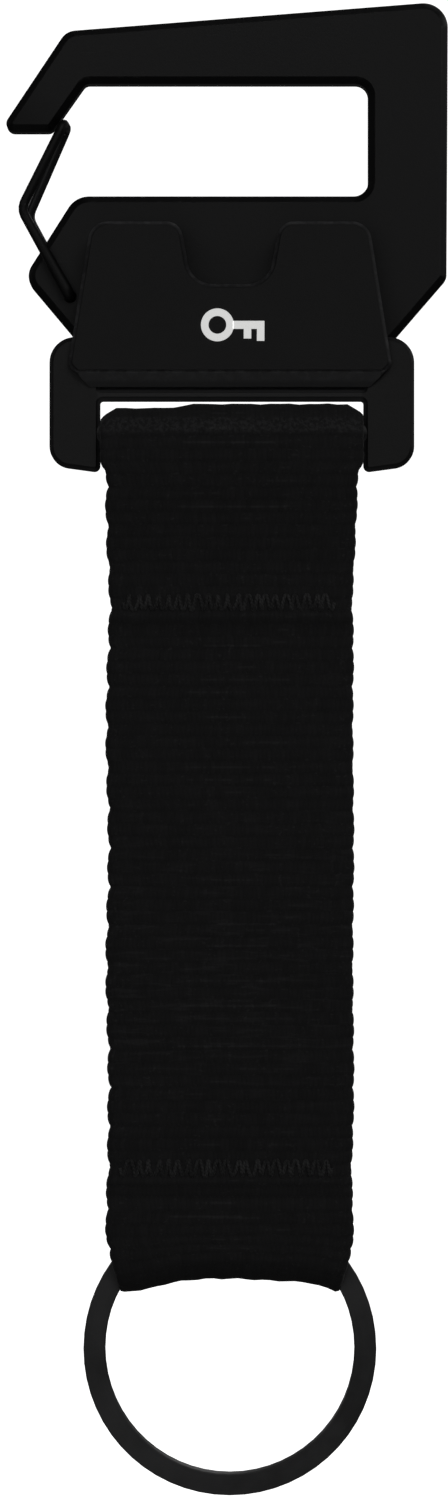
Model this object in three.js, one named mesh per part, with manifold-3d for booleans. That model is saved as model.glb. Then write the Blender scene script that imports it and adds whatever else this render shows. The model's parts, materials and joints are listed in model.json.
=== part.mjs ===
// Key organiser: an aluminium snap hook with a wire gate, a magnetic latch that slides off it,
// and a doubled webbing strap that ends in a split ring for keys.
//
// Millimetres, +Z up, +X to the wearer's right, -Y to the front. The organiser hangs at rest:
// the origin is the middle of the hook's bearing face, the flat underside of its top arm.

import * as THREE from "three";
import { mergeVertices } from "three/addons/utils/BufferGeometryUtils.js";
import Module from "manifold-3d";

const wasm = await Module();
wasm.setup();

// ---------------------------------------------------------------- driving dimensions

const GAP = 0.15; // clearance between neighbouring pieces

// hook plate
const PLATE_THICK = 4;
const PLATE_CHAMFER = 0.7;
const PLATE_FRONT = -PLATE_THICK / 2;
const PLATE_BACK = PLATE_THICK / 2;
const BASE_TOP = -11.5; // the base's top edge, below the window
const BASE_BOTTOM = -29.8;
const WINDOW_RIGHT = 14.15;
const BEAK_BOTTOM = -4.9;

// wire gate
const WIRE = 1; // diameter
const GATE_PIVOT = { x: -16.3, z: -21.8 };
const FRONT_STRAND = { elbow: { x: -21.3, z: -12.9 }, nose: { x: -16.95, z: -4.2 } };
const BACK_STRAND = { elbow: { x: -20.75, z: -13.25 }, nose: { x: -16.8, z: -4.2 } };
const GATE_STAND_OFF = 0.25; // between the wire and the plate's face
const GATE_BEND = 0.9; // how far from each corner the wire starts to bend
const PIVOT_HOLE = { radius: 0.65, deep: 1.5 }; // one in each face of the plate

// latch
const COVER_FRONT = -6;
const LATCH_BACK = PLATE_FRONT - 0.25;
const CARRIER_THICK = 1.25;
const CARRIER_FRONT = LATCH_BACK - CARRIER_THICK;
const COVER_TOP = -14.45;
const COVER_BOTTOM = -31.25;
const COVER_SIDE = { x: 16.45, z: -29 }; // where the cover is widest
const COVER_CHAMFER = 0.4;
const CARRIER_INSET = 1.3; // from the cover's outline in to the carrier's
const GROOVE = { top: -29.5, bottom: -29.75, deep: 0.3 };
const LIP = { top: -29.7, front: 0.15, slope: 1.5 }; // it slopes back below the groove
const LOBE = { inner: 5.05, outer: 14.1, round: 2 }; // the cover's two lobes, from the middle
const NOTCH = { half: 3.9, bottom: -20.8, mouth: 1.7, round: 2.6 }; // for the thumb
const COVER_FOOT = { half: 14.2, round: 0.6, shoulder: 0.8 };
const LATCH_TRAVEL = 2;

// strap frame
const FRAME_SHIFT = 0.2; // how far the frame sits to the right of the middle
const EAR_FRONT = -4.9;
const EAR_HALF = 18.55; // half width over both ears
const EAR_TOP = -26.1;
const EAR_BOTTOM = -39.85;
const EAR_RISE = 0.7; // how far an ear's bottom edge rises outwards
const EAR_CHAMFER = 0.42;
const EAR_ROUND = { top: 2.6, bottom: 2.2, inside: 0.6 };
const SLOT_HALF = 13.4;
const SLOT_TOP = -32.6;
const NECK = { top: -28.6, bottom: -32.2 }; // joins the carrier to the top bar
const BAR = { y: -3.55, z: -35.9, r: 1.3 };

// magnets and catch studs, one of each on either side
const MAGNET = { x: 9.6, z: -19.9, r: 3, thick: 1.5, sunk: 0.1 };
const STUD = {
  x: 6.5,
  z: -25.6,
  neck: 1,
  head: 1.75,
  headThick: 0.8,
  bevel: 0.25,
  flange: 1.7,
  flangeThick: 0.8,
  play: 0.1, // between the head and the carrier
};
const FLUSH = 0.05; // how far a stud's or a screw's end lies below the face round it
const HEAD_ROOM = { half: 2.2, front: COVER_FRONT + 1.2 }; // inside the cover, round a stud's head
const SCREWS = [
  { x: -11.4, z: -27 },
  { x: 0, z: -24.2 },
  { x: 11.4, z: -27 },
];
const SCREW = {
  thread: 0.7,
  head: 1.4,
  long: 2.8,
  rim: 0.05,
  bevel: 0.25,
  play: 0.2, // round it in the carrier
  slot: { half: 0.7, wide: 0.3, deep: 0.3 },
};

// strap
const WEBBING = 1.4; // thickness of one layer
const STRAP_HALF = 12.5; // half width
const SLEEVE_INNER = BAR.r + GAP;
const SLEEVE_OUTER = SLEEVE_INNER + WEBBING;
const SEWN_FROM = -51.1; // below this height the two layers lie together
const UPPER_ROW = -53.1;
const UPPER_BEND = -69.3;
const LOWER_BEND = -94.6;
const LOWER_ROW = -110.6;
const BEND_GAP = 0.3;
const PARTING = -111.7; // where the layers part again, round the ring
const POCKET_TOP = -112.2;
const POCKET_FULL = -113.9;
const FOLD_BOTTOM = -123.35;
const FOLD_HALF = 11.2; // half width along the fold, narrower than the strap
const EDGE_END = -120.1; // where the straight side edges end

// stitching
const ROW_HALF = 11;
const ROW_HIGH = 1.85;
const THREAD = 0.32;
const THREAD_FILL = 0.9; // how much of its own width a leg of thread takes along the row
const THREAD_OFF = 0.02; // between the thread and the webbing
const STITCHES = 22;

// split ring
const RING = {
  z: -129,
  outer: 14.9,
  inner: 12.7,
  turn: 1, // thickness of one turn
  between: 0.2,
  play: 0.2, // in the fold, on either face
  room: 0.25, // in the fold, round its edges
};
const RING_STEP = { over: 30, end: 3 }; // degrees it takes from turn to turn, and before each end
const RING_SWEEP = 720 - RING_STEP.over - 2 * RING_STEP.end; // degrees
const RING_SECTION = 6; // degrees between sections

// ---------------------------------------------------------------- materials

const finish = (name, color, roughness, metalness) =>
  new THREE.MeshStandardMaterial({ name, color, roughness, metalness });

const ANODISED = finish("anodised_plate", 0x17181a, 0.42, 0.85);
const BLACK_WIRE = finish("black_wire", 0x141414, 0.35, 0.9);
const COATED = finish("coated_cover", 0x151516, 0.62, 0);
const MOULDED = finish("moulded_frame", 0x161617, 0.5, 0.1);
const NICKEL = finish("nickel", 0xb9b7b0, 0.25, 1);
const STEEL = finish("stud_steel", 0x8a8c8f, 0.35, 1);
const FABRIC = finish("webbing", 0x0f0f10, 0.95, 0);
const THREADS = finish("thread", 0x161617, 0.8, 0);
const BLACK_RING = finish("ring_black", 0x222326, 0.4, 0.9);

// ---------------------------------------------------------------- solids

/** A closed geometry as a solid, for cutting and joining. */
function solid(geometry) {
  const bare = geometry.clone();
  bare.deleteAttribute("normal");
  bare.deleteAttribute("uv");
  const merged = mergeVertices(bare, 1e-4);
  return new wasm.Manifold(
    new wasm.Mesh({
      numProp: 3,
      vertProperties: merged.attributes.position.array,
      triVerts: new Uint32Array(merged.index.array),
    }),
  );
}

/** A solid as a named mesh. */
function meshOf(name, body, material) {
  const { vertProperties, triVerts } = body.getMesh();
  const geometry = new THREE.BufferGeometry();
  geometry.setAttribute("position", new THREE.BufferAttribute(vertProperties, 3));
  geometry.setIndex(new THREE.BufferAttribute(triVerts, 1));
  geometry.computeVertexNormals();
  const mesh = new THREE.Mesh(geometry, material);
  mesh.name = name;
  return mesh;
}

/** An outline through corners [x, z, radius], each rounded by its radius. */
function outline(corners, Type = THREE.Shape) {
  const path = new Type();
  corners.forEach(([x, z, radius], i) => {
    const [fromX, fromZ] = corners.at(i - 1);
    const [toX, toZ] = corners[(i + 1) % corners.length];
    const back = new THREE.Vector2(fromX - x, fromZ - z).normalize();
    const on = new THREE.Vector2(toX - x, toZ - z).normalize();
    const half = Math.acos(back.dot(on)) / 2;
    const middle = back.clone().add(on).normalize();
    const centre = middle.multiplyScalar(radius / Math.sin(half)).add(new THREE.Vector2(x, z));
    const reach = radius / Math.tan(half);
    const start = back.multiplyScalar(reach).add(new THREE.Vector2(x, z)).sub(centre);
    const end = on.multiplyScalar(reach).add(new THREE.Vector2(x, z)).sub(centre);
    const clockwise = start.cross(end) < 0;
    path.absarc(centre.x, centre.y, radius, start.angle(), end.angle(), clockwise);
  });
  path.closePath();
  return path;
}

/** The corners of a shape that is the same on both sides, from those with x above 0. */
const mirrored = (half) => [...half, ...half.toReversed().map(([x, z, r]) => [-x, z, r])];

const STAND_UP = new THREE.Matrix4().makeRotationX(Math.PI / 2);

/** A flat plate of an (x, z) outline, from y = front to y = back, its edges chamfered. */
function plate(shape, front, back, chamfer = 0) {
  const geometry = new THREE.ExtrudeGeometry(shape, {
    depth: back - front - 2 * chamfer,
    curveSegments: 6,
    bevelEnabled: chamfer > 0,
    bevelSegments: 1,
    bevelThickness: chamfer,
    bevelSize: chamfer,
    bevelOffset: -chamfer,
  });
  geometry.applyMatrix4(STAND_UP).translate(0, back - chamfer, 0);
  return solid(geometry);
}

const FROM_SIDE = new THREE.Matrix4().makeBasis(
  new THREE.Vector3(0, 1, 0),
  new THREE.Vector3(0, 0, 1),
  new THREE.Vector3(1, 0, 0),
);

/** A bar of a (y, z) outline, from x = -half to x = half. */
function sideBar(shape, half) {
  const geometry = new THREE.ExtrudeGeometry(shape, {
    depth: 2 * half,
    curveSegments: 8,
    bevelEnabled: false,
  });
  geometry.applyMatrix4(FROM_SIDE).translate(-half, 0, 0);
  return solid(geometry);
}

/** A round bar along Y, given as [radius, y] steps from the front to the back. */
function turned(steps, x, z) {
  const profile = steps.map(([radius, y]) => new THREE.Vector2(radius, y));
  return solid(new THREE.LatheGeometry(profile, 32).translate(x, 0, z));
}

/** A plain round bar along Y. */
const pin = (radius, front, back, x, z) =>
  turned([[0, front], [radius, front], [radius, back], [0, back]], x, z);

/** A block between two corners. */
function block(low, high) {
  const size = high.map((v, i) => v - low[i]);
  const middle = high.map((v, i) => (v + low[i]) / 2);
  return solid(new THREE.BoxGeometry(...size).translate(...middle));
}

const joined = (...bodies) => bodies.reduce((sum, body) => sum.add(body));
const cut = (body, ...tools) => tools.reduce((rest, tool) => rest.subtract(tool), body);

// ---------------------------------------------------------------- hook

/** The flat snap hook: a sloping top arm with a beak, a right arm and a base below the window. */
function hookPlate() {
  const shape = outline([
    [-23.6, BEAK_BOTTOM, 0.85], // beak's point
    [-16.73, 5.39, 1.85],
    [22.3, 8.46, 2.5],
    [22.15, -19.95, 0.9],
    [13.64, BASE_BOTTOM, 0.85],
    [-12.67, BASE_BOTTOM, 0.85],
    [-21.05, -19.82, 2], // lobe that holds the gate
    [-15.77, BASE_TOP, 2.5],
    [WINDOW_RIGHT, BASE_TOP, 1.5],
    [WINDOW_RIGHT, 0, 1.3],
    [-14.74, 0, 0.8],
    [-18.2, BEAK_BOTTOM, 0.8],
  ]);
  const magnetFloor = PLATE_FRONT + 2 * MAGNET.sunk + MAGNET.thick + GAP;
  const flangeFloor = PLATE_BACK - STUD.flangeThick - GAP;
  const pockets = [-1, 1].flatMap((side) => [
    pin(MAGNET.r + GAP, PLATE_FRONT - 1, magnetFloor, side * MAGNET.x, MAGNET.z),
    pin(STUD.neck + GAP, PLATE_FRONT - 1, PLATE_BACK + 1, side * STUD.x, STUD.z),
    pin(STUD.flange + GAP, flangeFloor, PLATE_BACK + 1, side * STUD.x, STUD.z),
  ]);
  const { radius, deep } = PIVOT_HOLE;
  const pivots = [
    pin(radius, PLATE_FRONT - 1, PLATE_FRONT + deep, GATE_PIVOT.x, GATE_PIVOT.z),
    pin(radius, PLATE_BACK - deep, PLATE_BACK + 1, GATE_PIVOT.x, GATE_PIVOT.z),
  ];
  const blank = plate(shape, PLATE_FRONT, PLATE_BACK, PLATE_CHAMFER);
  return meshOf("hook_plate", cut(blank, ...pockets, ...pivots), ANODISED);
}

/** A magnet let into the plate's front face, opposite the latch's own. */
function keeperMagnet(side) {
  const front = PLATE_FRONT + MAGNET.sunk;
  const body = pin(MAGNET.r, front, front + MAGNET.thick, side * MAGNET.x, MAGNET.z);
  return meshOf(side < 0 ? "keeper_magnet_left" : "keeper_magnet_right", body, NICKEL);
}

/** A headed stud, riveted through the plate, that carries the strap's pull. */
function catchStud(side) {
  const { bevel, play } = STUD;
  const headBack = CARRIER_FRONT - play;
  const headFront = headBack - STUD.headThick;
  const back = PLATE_BACK - FLUSH;
  const flangeFront = back - STUD.flangeThick;
  const body = turned(
    [
      [0, headFront],
      [STUD.head - bevel, headFront],
      [STUD.head, headFront + bevel],
      [STUD.head, headBack],
      [STUD.neck, headBack],
      [STUD.neck, flangeFront],
      [STUD.flange, flangeFront],
      [STUD.flange, back],
      [0, back],
    ],
    side * STUD.x,
    STUD.z,
  );
  return meshOf(side < 0 ? "catch_stud_left" : "catch_stud_right", body, STEEL);
}

/** The gate: one bent wire, with a strand on each face of the plate and a bar across the nose. */
function wireGate() {
  const strand = PLATE_BACK + GATE_STAND_OFF + WIRE / 2;
  const end = PLATE_BACK - PIVOT_HOLE.deep + GAP;
  const at = ({ x, z }, y) => new THREE.Vector3(x, y, z);
  const points = [
    at(GATE_PIVOT, -end),
    at(GATE_PIVOT, -strand),
    at(FRONT_STRAND.elbow, -strand),
    at(FRONT_STRAND.nose, -strand),
    at(BACK_STRAND.nose, strand),
    at(BACK_STRAND.elbow, strand),
    at(GATE_PIVOT, strand),
    at(GATE_PIVOT, end),
  ];
  const path = new THREE.CurvePath();
  let from = points[0];
  points.slice(1, -1).forEach((corner, i) => {
    const toward = (target) =>
      corner.clone().add(target.clone().sub(corner).normalize().multiplyScalar(GATE_BEND));
    const enter = toward(points[i]);
    const leave = toward(points[i + 2]);
    path.add(new THREE.LineCurve3(from, enter));
    path.add(new THREE.QuadraticBezierCurve3(enter, corner, leave));
    from = leave;
  });
  path.add(new THREE.LineCurve3(from, points.at(-1)));
  const section = new THREE.Shape().absarc(0, 0, WIRE / 2, 0, 2 * Math.PI);
  const geometry = new THREE.ExtrudeGeometry(section, {
    extrudePath: path,
    steps: 110,
    curveSegments: 5,
  });
  return meshOf("wire_gate", solid(geometry), BLACK_WIRE);
}

// ---------------------------------------------------------------- latch

/** The cover's outline, drawn in by an inset: two lobes at the top with a thumb notch between. */
function coverOutline(inset = 0) {
  return outline(
    mirrored([
      [COVER_FOOT.half - inset, COVER_BOTTOM + inset, COVER_FOOT.round],
      [COVER_SIDE.x - inset, COVER_SIDE.z + inset / 2, COVER_FOOT.shoulder],
      [LOBE.outer - inset, COVER_TOP - inset, LOBE.round],
      [LOBE.inner + inset, COVER_TOP - inset, NOTCH.mouth],
      [NOTCH.half + inset, NOTCH.bottom - inset, NOTCH.round],
    ]),
  );
}

/** What the frame's ears and top bar take up, grown by a clearance. */
function frameSpace(grow) {
  const front = EAR_FRONT - grow;
  const back = LATCH_BACK + 1;
  const ears = [-1, 1].map((side) => {
    const xs = [side * (SLOT_HALF - grow), side * (EAR_HALF + 1)].sort((a, b) => a - b);
    return block([xs[0], front, EAR_BOTTOM], [xs[1], back, EAR_TOP + grow]);
  });
  const bar = block([-EAR_HALF, front, EAR_BOTTOM], [EAR_HALF, back, COVER_BOTTOM + grow]);
  return joined(...ears, bar).translate([FRAME_SHIFT, 0, 0]);
}

/** The cover, hollowed behind for the carrier, the magnets, the studs' heads and the screws. */
function latchCover() {
  const shell = plate(coverOutline(), COVER_FRONT, LATCH_BACK, COVER_CHAMFER);
  const seatFront = CARRIER_FRONT - GAP;
  const carrierSeat = plate(coverOutline(CARRIER_INSET - GAP), seatFront, LATCH_BACK + 1);
  const neck = block(
    [-SLOT_HALF, seatFront, COVER_BOTTOM - 1],
    [SLOT_HALF, LATCH_BACK + 1, NECK.top + GAP],
  ).translate([FRAME_SHIFT, 0, 0]);
  const { half, front } = HEAD_ROOM;
  const heads = [-1, 1].map((side) =>
    block(
      [side * STUD.x - half, front, STUD.z - LATCH_TRAVEL - half],
      [side * STUD.x + half, LATCH_BACK, STUD.z + half],
    ),
  );
  const magnetFloor = LATCH_BACK - 2 * MAGNET.sunk - MAGNET.thick - GAP;
  const magnets = [-1, 1].map((side) =>
    pin(MAGNET.r + GAP, magnetFloor, LATCH_BACK, side * MAGNET.x, MAGNET.z),
  );
  const threads = SCREWS.map(({ x, z }) =>
    pin(SCREW.thread + GAP, LATCH_BACK - SCREW.long - 2 * GAP, LATCH_BACK, x, z),
  );
  const past = COVER_SIDE.x + 1;
  const groove = block(
    [-past, COVER_FRONT - 1, GROOVE.bottom],
    [past, COVER_FRONT + GROOVE.deep, GROOVE.top],
  );
  const sharp = 0.01;
  const slope = outline([
    [COVER_FRONT + LIP.front, LIP.top, sharp],
    [COVER_FRONT - 1, LIP.top, sharp],
    [COVER_FRONT - 1, COVER_BOTTOM - 1, sharp],
    [COVER_FRONT + LIP.slope, COVER_BOTTOM - 1, sharp],
  ]);
  const hollows = [carrierSeat, neck, frameSpace(GAP), ...heads, ...magnets, ...threads];
  return meshOf("latch_cover", cut(shell, ...hollows, groove, sideBar(slope, past)), COATED);
}

/** The strap frame: a carrier plate inside the cover, two ears, a top bar and the strap's bar. */
function strapFrame() {
  const carrier = plate(coverOutline(CARRIER_INSET), CARRIER_FRONT, LATCH_BACK);
  const ears = plate(
    outline([
      [EAR_HALF, EAR_BOTTOM + EAR_RISE, EAR_ROUND.bottom],
      [EAR_HALF, EAR_TOP, EAR_ROUND.top],
      [SLOT_HALF, EAR_TOP, 0.5],
      [SLOT_HALF, COVER_BOTTOM - GAP, 0.05],
      [-SLOT_HALF, COVER_BOTTOM - GAP, 0.05],
      [-SLOT_HALF, EAR_TOP, 0.5],
      [-EAR_HALF, EAR_TOP, EAR_ROUND.top],
      [-EAR_HALF, EAR_BOTTOM + EAR_RISE, EAR_ROUND.bottom],
      [-SLOT_HALF, EAR_BOTTOM, EAR_ROUND.inside],
      [-SLOT_HALF, SLOT_TOP, 0.3],
      [SLOT_HALF, SLOT_TOP, 0.3],
      [SLOT_HALF, EAR_BOTTOM, EAR_ROUND.inside],
    ]),
    EAR_FRONT,
    LATCH_BACK,
    EAR_CHAMFER,
  );
  const half = SLOT_HALF + 1;
  const neck = block([-half, CARRIER_FRONT, NECK.bottom], [half, LATCH_BACK, NECK.top]);
  const bar = sideBar(new THREE.Shape().absarc(BAR.y, BAR.z, BAR.r, 0, 2 * Math.PI), half);
  const yoke = joined(ears, neck, bar).translate([FRAME_SHIFT, 0, 0]);
  const keyholes = [-1, 1].flatMap((side) => {
    const x = side * STUD.x;
    const slot = STUD.neck + GAP;
    return [
      pin(STUD.head + 2 * STUD.play, CARRIER_FRONT - 1, LATCH_BACK + 1, x, STUD.z - LATCH_TRAVEL),
      pin(slot, CARRIER_FRONT - 1, LATCH_BACK + 1, x, STUD.z),
      block([x - slot, CARRIER_FRONT - 1, STUD.z - LATCH_TRAVEL], [x + slot, LATCH_BACK + 1, STUD.z]),
    ];
  });
  const magnets = [-1, 1].map((side) =>
    pin(MAGNET.r + GAP, CARRIER_FRONT - 1, LATCH_BACK + 1, side * MAGNET.x, MAGNET.z),
  );
  const hole = SCREW.thread + SCREW.play;
  const sink = SCREW.head + SCREW.play;
  const countersinks = SCREWS.map(({ x, z }) =>
    turned(
      [
        [0, CARRIER_FRONT - 1],
        [hole, CARRIER_FRONT - 1],
        [hole, LATCH_BACK - sink + hole],
        [sink, LATCH_BACK],
        [sink, LATCH_BACK + 1],
        [0, LATCH_BACK + 1],
      ],
      x,
      z,
    ),
  );
  const body = cut(joined(carrier, yoke), ...keyholes, ...magnets, ...countersinks);
  return meshOf("strap_frame", body, MOULDED);
}

/** A magnet held in the latch, opposite the plate's own. */
function latchMagnet(side) {
  const back = LATCH_BACK - MAGNET.sunk;
  const body = pin(MAGNET.r, back - MAGNET.thick, back, side * MAGNET.x, MAGNET.z);
  return meshOf(side < 0 ? "latch_magnet_left" : "latch_magnet_right", body, NICKEL);
}

/** A countersunk screw that holds the carrier in the cover, driven from behind. */
function coverScrew({ x, z }, i) {
  const { thread, head, long, rim, bevel, slot } = SCREW;
  const back = LATCH_BACK - FLUSH;
  const driver = block(
    [x - slot.half, back - slot.deep, z - slot.wide / 2],
    [x + slot.half, back + 1, z + slot.wide / 2],
  );
  const body = turned(
    [
      [0, back - long],
      [thread - bevel, back - long],
      [thread, back - long + bevel],
      [thread, back - rim - head + thread],
      [head, back - rim],
      [head, back],
      [0, back],
    ],
    x,
    z,
  );
  return meshOf(`cover_screw_${i + 1}`, cut(body, driver), STEEL);
}

// ---------------------------------------------------------------- strap

/** The rounded lower end of a strap section, at a bend. */
const bendEnd = (path, z, half) => path.absarc(BAR.y, z, half, Math.PI, 0);

/** Starts a section below a bend, hollowed so that the section above can turn in it. */
function bendSocket(path, z) {
  const reach = WEBBING + BEND_GAP;
  const edge = Math.acos(WEBBING / reach);
  return path.absarc(BAR.y, z, reach, Math.PI + edge, -edge);
}

/** The top of the strap: a sleeve round the frame's bar, closing to two layers at the stitching. */
function webbingUpper() {
  const tear = (path, radius, tipHalf, tip) => {
    const drop = BAR.z - tip;
    const turn = Math.atan2(tipHalf, drop) + Math.acos(radius / Math.hypot(tipHalf, drop));
    return path.absarc(BAR.y, BAR.z, radius, turn - Math.PI / 2, 1.5 * Math.PI - turn);
  };
  const shape = tear(new THREE.Shape(), SLEEVE_OUTER, WEBBING, SEWN_FROM);
  shape.lineTo(BAR.y - WEBBING, SEWN_FROM);
  bendEnd(shape, UPPER_BEND, WEBBING);
  shape.lineTo(BAR.y + WEBBING, SEWN_FROM);
  shape.closePath();
  const eye = tear(new THREE.Path(), SLEEVE_INNER, 0, SEWN_FROM);
  eye.lineTo(BAR.y, SEWN_FROM);
  eye.closePath();
  shape.holes.push(eye);
  return meshOf("webbing_upper", sideBar(shape, STRAP_HALF), FABRIC);
}

/** The middle of the strap, two layers lying together. */
function webbingMiddle() {
  const shape = bendSocket(new THREE.Shape(), UPPER_BEND);
  shape.lineTo(BAR.y + WEBBING, LOWER_BEND);
  shape.absarc(BAR.y, LOWER_BEND, WEBBING, 0, Math.PI, true);
  shape.closePath();
  return meshOf("webbing_middle", sideBar(shape, STRAP_HALF), FABRIC);
}

/** The end of the strap: sewn layers that part round the ring and fold under it. */
function webbingLower() {
  const ringHalf = RING.turn + RING.between / 2 + RING.play;
  const outer = ringHalf + WEBBING;
  const foldZ = FOLD_BOTTOM + outer;
  const shape = bendSocket(new THREE.Shape(), LOWER_BEND);
  shape.lineTo(BAR.y + WEBBING, PARTING);
  shape.lineTo(BAR.y + outer, POCKET_FULL);
  shape.absarc(BAR.y, foldZ, outer, 0, Math.PI, true);
  shape.lineTo(BAR.y - outer, POCKET_FULL);
  shape.lineTo(BAR.y - WEBBING, PARTING);
  shape.closePath();
  const pocket = new THREE.Path();
  pocket.moveTo(BAR.y, POCKET_TOP);
  pocket.lineTo(BAR.y - ringHalf, POCKET_FULL);
  pocket.absarc(BAR.y, foldZ, ringHalf, Math.PI, 0);
  pocket.lineTo(BAR.y + ringHalf, POCKET_FULL);
  pocket.closePath();
  shape.holes.push(pocket);
  const silhouette = plate(
    outline(
      mirrored([
        [FOLD_HALF, FOLD_BOTTOM - GAP, 0.3],
        [STRAP_HALF, EDGE_END, 0.5],
        [STRAP_HALF, LOWER_BEND + 2 * WEBBING, 0.1],
      ]),
    ),
    BAR.y - outer - 1,
    BAR.y + outer + 1,
  );
  const sweep = new THREE.LatheGeometry(
    [
      new THREE.Vector2(RING.inner - RING.room, -ringHalf),
      new THREE.Vector2(RING.outer + RING.room, -ringHalf),
      new THREE.Vector2(RING.outer + RING.room, ringHalf),
      new THREE.Vector2(RING.inner - RING.room, ringHalf),
      new THREE.Vector2(RING.inner - RING.room, -ringHalf),
    ],
    72,
  );
  sweep.translate(0, BAR.y, RING.z);
  const body = sideBar(shape, STRAP_HALF).intersect(silhouette).subtract(solid(sweep));
  return meshOf("webbing_lower", body, FABRIC);
}

/** One side of a row of bar tacks: a thread that runs to and fro across the strap. */
function stitchRow(name, z, front) {
  const pitch = (2 * ROW_HALF) / STITCHES;
  const side = (THREAD / 2) * Math.hypot(1, (2 * ROW_HIGH) / pitch) * THREAD_FILL;
  const peak = ROW_HIGH / 2 - side;
  const along = Array.from({ length: STITCHES + 1 }, (_, i) => {
    const height = i % 2 ? peak : -peak;
    return new THREE.Vector2(-ROW_HALF + i * pitch, z + height);
  });
  const raised = (distance) => along.map((at) => new THREE.Vector2(at.x, at.y + distance));
  const shape = new THREE.Shape([...raised(-side), ...raised(side).toReversed()]);
  const face = BAR.y + (front ? -1 : 1) * (WEBBING + THREAD_OFF);
  const [from, to] = front ? [face - THREAD, face] : [face, face + THREAD];
  return meshOf(name, plate(shape, from, to), THREADS);
}

// ---------------------------------------------------------------- split ring

/** The line that the ring's band follows: two flat turns with a short step between them. */
class RingLine extends THREE.Curve {
  getPoint(t, target = new THREE.Vector3()) {
    const half = RING_STEP.over / 2;
    const degrees = half + RING_STEP.end + t * RING_SWEEP;
    const share = THREE.MathUtils.smoothstep(degrees, 360 - half, 360 + half);
    const offset = (share - 0.5) * (RING.turn + RING.between);
    const angle = THREE.MathUtils.degToRad(degrees);
    const radius = (RING.outer + RING.inner) / 2;
    return target.set(
      radius * Math.sin(angle),
      BAR.y + offset,
      RING.z + radius * Math.cos(angle),
    );
  }
}

function splitRing() {
  const wide = RING.outer - RING.inner;
  const section = new THREE.Shape();
  section.moveTo(-RING.turn / 2, -wide / 2);
  section.lineTo(RING.turn / 2, -wide / 2);
  section.lineTo(RING.turn / 2, wide / 2);
  section.lineTo(-RING.turn / 2, wide / 2);
  section.closePath();
  const geometry = new THREE.ExtrudeGeometry(section, {
    extrudePath: new RingLine(),
    steps: Math.round(RING_SWEEP / RING_SECTION),
  });
  return meshOf("split_ring", solid(geometry), BLACK_RING);
}

// ---------------------------------------------------------------- assembly

const organiser = new THREE.Group();
const sides = [-1, 1];

organiser.add(
  hookPlate(),
  ...sides.map(keeperMagnet),
  ...sides.map(catchStud),
  wireGate(),
  latchCover(),
  strapFrame(),
  ...sides.map(latchMagnet),
  ...SCREWS.map(coverScrew),
  webbingUpper(),
  stitchRow("upper_stitching_front", UPPER_ROW, true),
  stitchRow("upper_stitching_back", UPPER_ROW, false),
  webbingMiddle(),
  webbingLower(),
  stitchRow("lower_stitching_front", LOWER_ROW, true),
  stitchRow("lower_stitching_back", LOWER_ROW, false),
  splitRing(),
);

export default organiser;
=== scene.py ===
"""A key organiser: a snap hook with a wire gate, a slide-off latch, a webbing strap and a split ring."""

import json
import math

import bpy
import numpy as np
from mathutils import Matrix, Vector


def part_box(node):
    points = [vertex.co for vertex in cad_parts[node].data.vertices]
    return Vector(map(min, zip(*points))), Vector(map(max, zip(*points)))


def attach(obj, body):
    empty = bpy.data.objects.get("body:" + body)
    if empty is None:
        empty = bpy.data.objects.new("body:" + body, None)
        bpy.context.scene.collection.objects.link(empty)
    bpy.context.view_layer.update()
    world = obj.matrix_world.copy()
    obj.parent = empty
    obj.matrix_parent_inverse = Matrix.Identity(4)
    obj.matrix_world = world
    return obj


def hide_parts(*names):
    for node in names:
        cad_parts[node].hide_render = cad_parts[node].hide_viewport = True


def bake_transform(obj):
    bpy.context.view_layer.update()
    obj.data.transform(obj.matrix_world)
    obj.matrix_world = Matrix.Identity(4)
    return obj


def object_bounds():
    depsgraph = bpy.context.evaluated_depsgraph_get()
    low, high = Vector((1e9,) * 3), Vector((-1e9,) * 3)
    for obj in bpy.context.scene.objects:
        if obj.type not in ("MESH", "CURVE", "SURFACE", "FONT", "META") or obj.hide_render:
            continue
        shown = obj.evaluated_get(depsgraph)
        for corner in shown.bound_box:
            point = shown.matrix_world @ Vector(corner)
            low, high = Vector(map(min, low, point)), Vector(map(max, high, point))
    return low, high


bl_info = {
    "name": "Key organiser",
    "version": (1, 0, 0),
    "blender": (4, 5, 0),
    "location": "View3D > Sidebar > Key organiser",
    "description": "Builds the looks of a key organiser round its packed frame",
    "category": "Add Mesh",
}

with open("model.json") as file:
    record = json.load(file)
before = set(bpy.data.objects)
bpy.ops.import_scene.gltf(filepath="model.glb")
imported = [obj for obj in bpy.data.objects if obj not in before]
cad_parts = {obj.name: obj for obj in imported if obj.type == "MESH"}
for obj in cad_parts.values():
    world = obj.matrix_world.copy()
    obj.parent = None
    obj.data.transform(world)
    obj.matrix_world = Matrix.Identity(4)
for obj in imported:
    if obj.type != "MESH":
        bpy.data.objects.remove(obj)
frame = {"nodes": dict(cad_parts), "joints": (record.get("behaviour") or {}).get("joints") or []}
CAD_LOW, CAD_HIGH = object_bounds()

MM = 0.001
JOINTS = {joint["name"]: joint for joint in frame["joints"]}
BAR = Vector(JOINTS["strap_swing"]["pos_m"])
UPPER_BEND = JOINTS["strap_bend_upper"]["pos_m"][2]
LOWER_BEND = JOINTS["strap_bend_lower"]["pos_m"][2]
RING_CENTRE = Vector(JOINTS["ring_spin"]["pos_m"])
STRAP_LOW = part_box("webbing_lower")[0]
STRAP_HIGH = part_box("webbing_upper")[1]
STRAP_JOIN = (UPPER_BEND + LOWER_BEND) / 2


def mid_height(low, high):
    """The height of a box's middle."""
    return (low.z + high.z) / 2


# the heights of the two rows of stitches
ROWS = {
    "upper": mid_height(*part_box("upper_stitching_front")),
    "lower": mid_height(*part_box("lower_stitching_front")),
}

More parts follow.
